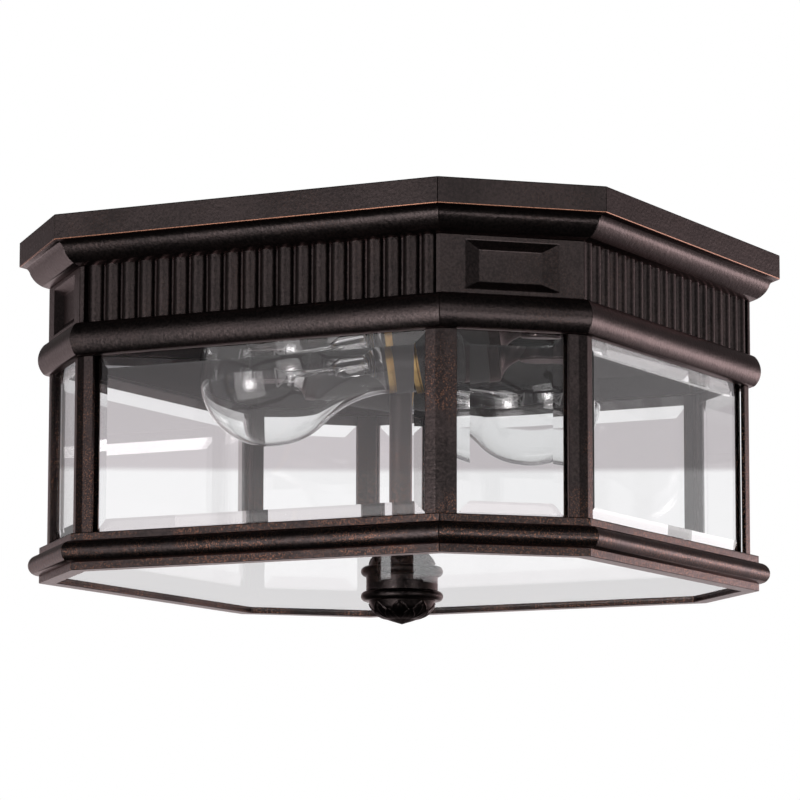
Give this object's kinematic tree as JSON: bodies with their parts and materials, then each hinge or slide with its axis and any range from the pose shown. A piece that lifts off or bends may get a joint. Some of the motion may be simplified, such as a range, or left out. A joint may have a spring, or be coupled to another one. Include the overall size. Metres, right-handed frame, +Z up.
{
  "type": "flush mount ceiling light",
  "caption": "Eight-sided flush mount ceiling lantern in dark bronze with bevelled glass sides, a glass floor held by a leaf finial, and screw-base lamps inside.",
  "frame": {"origin": "centre of the ceiling plane, on the stem's axis", "axes": "+Z up into the ceiling, +X and +Y square to the wide faces, the front face looks along -Y"},
  "size_m": [0.292, 0.292, 0.171],
  "materials": {
    "bronze": "dark oil-rubbed bronze, satin, with worn copper edges",
    "plate_glass": "clear bevelled plate",
    "lamp_glass": "clear thin glass",
    "brass": "bright",
    "tungsten": "dull grey wire",
    "black_glass": "black insulator",
    "black_moulding": "black phenolic",
    "plated_steel": "zinc plated",
    "rubber": "black"
  },
  "bodies": {
    "fixture": {"belt_moulding": "bronze", "ceiling_pan": "bronze", "ceiling_rim": "bronze", "corner_panel_back_left": "bronze", "corner_panel_back_right": "bronze", "corner_panel_front_left": "bronze", "corner_panel_front_right": "bronze", "cornice_moulding": "bronze", "frieze_shell": "bronze", "ground_screw": "plated_steel", "lamp_arm_1": "bronze", "lamp_arm_2": "bronze", "lock_nuts": "plated_steel", "lower_frame": "bronze", "mounting_bar": "plated_steel", "mounting_studs": "plated_steel", "pan_screws": "plated_steel", "pane_back": "plate_glass", "pane_back_left": "plate_glass", "pane_back_right": "plate_glass", "pane_front": "plate_glass", "pane_front_left": "plate_glass", "pane_front_right": "plate_glass", "pane_left": "plate_glass", "pane_retainers": "bronze", "pane_right": "plate_glass", "post_back_left": "bronze", "post_back_right": "bronze", "post_front_left": "bronze", "post_front_right": "bronze", "post_left_back": "bronze", "post_left_front": "bronze", "post_right_back": "bronze", "post_right_front": "bronze", "reeded_panel_back": "bronze", "reeded_panel_front": "bronze", "reeded_panel_left": "bronze", "reeded_panel_right": "bronze", "socket_body_1": "black_moulding", "socket_body_2": "black_moulding", "socket_contacts": "brass", "socket_shell_1": "brass", "socket_shell_2": "brass", "stem": "bronze", "stud_cap_nuts": "bronze"},
    "floor": {"glass_floor": "plate_glass", "floor_bush": "rubber", "finial_collar": "bronze"},
    "finial": {"finial": "bronze"},
    "lamp_1_foot": {"lamp_foot_1": "black_glass"},
    "lamp_1": {"lamp_envelope_1": "lamp_glass", "lamp_base_1": "brass", "lamp_mount_1": "lamp_glass", "lamp_filament_1": "tungsten"},
    "lamp_2_foot": {"lamp_foot_2": "black_glass"},
    "lamp_2": {"lamp_envelope_2": "lamp_glass", "lamp_base_2": "brass", "lamp_mount_2": "lamp_glass", "lamp_filament_2": "tungsten"}
  },
  "joints": [
    {"name": "floor_lower", "type": "slide", "parent": "fixture", "child": "floor", "axis": [0, 0, -1], "range_m": [0, 0.0095]},
    {"name": "finial_turn", "type": "hinge", "parent": "floor", "child": "finial", "pos_m": [0, 0, -0.1559], "axis": [0, 0, -1], "range_deg": [0, 3600]},
    {"name": "lamp_1_travel", "type": "slide", "parent": "fixture", "child": "lamp_1_foot", "axis": [-0.8667, -0.4765, -0.1478], "range_m": [0, 0.0182]},
    {"name": "lamp_1_turn", "type": "hinge", "parent": "lamp_1_foot", "child": "lamp_1", "pos_m": [0.0688, 0, -0.0469], "axis": [-0.8667, -0.4765, -0.1478], "range_deg": [0, 1800]},
    {"name": "lamp_2_travel", "type": "slide", "parent": "fixture", "child": "lamp_2_foot", "axis": [0.8667, 0.4765, -0.1478], "range_m": [0, 0.0182]},
    {"name": "lamp_2_turn", "type": "hinge", "parent": "lamp_2_foot", "child": "lamp_2", "pos_m": [-0.0688, 0, -0.0469], "axis": [0.8667, 0.4765, -0.1478], "range_deg": [0, 1800]}
  ],
  "couplings": [
    {"joint": "floor_lower", "follows": "finial_turn", "m_per_rad": 0.00014972},
    {"joint": "lamp_1_travel", "follows": "lamp_1_turn", "m_per_rad": 0.0005775},
    {"joint": "lamp_2_travel", "follows": "lamp_2_turn", "m_per_rad": 0.0005775}
  ]
}
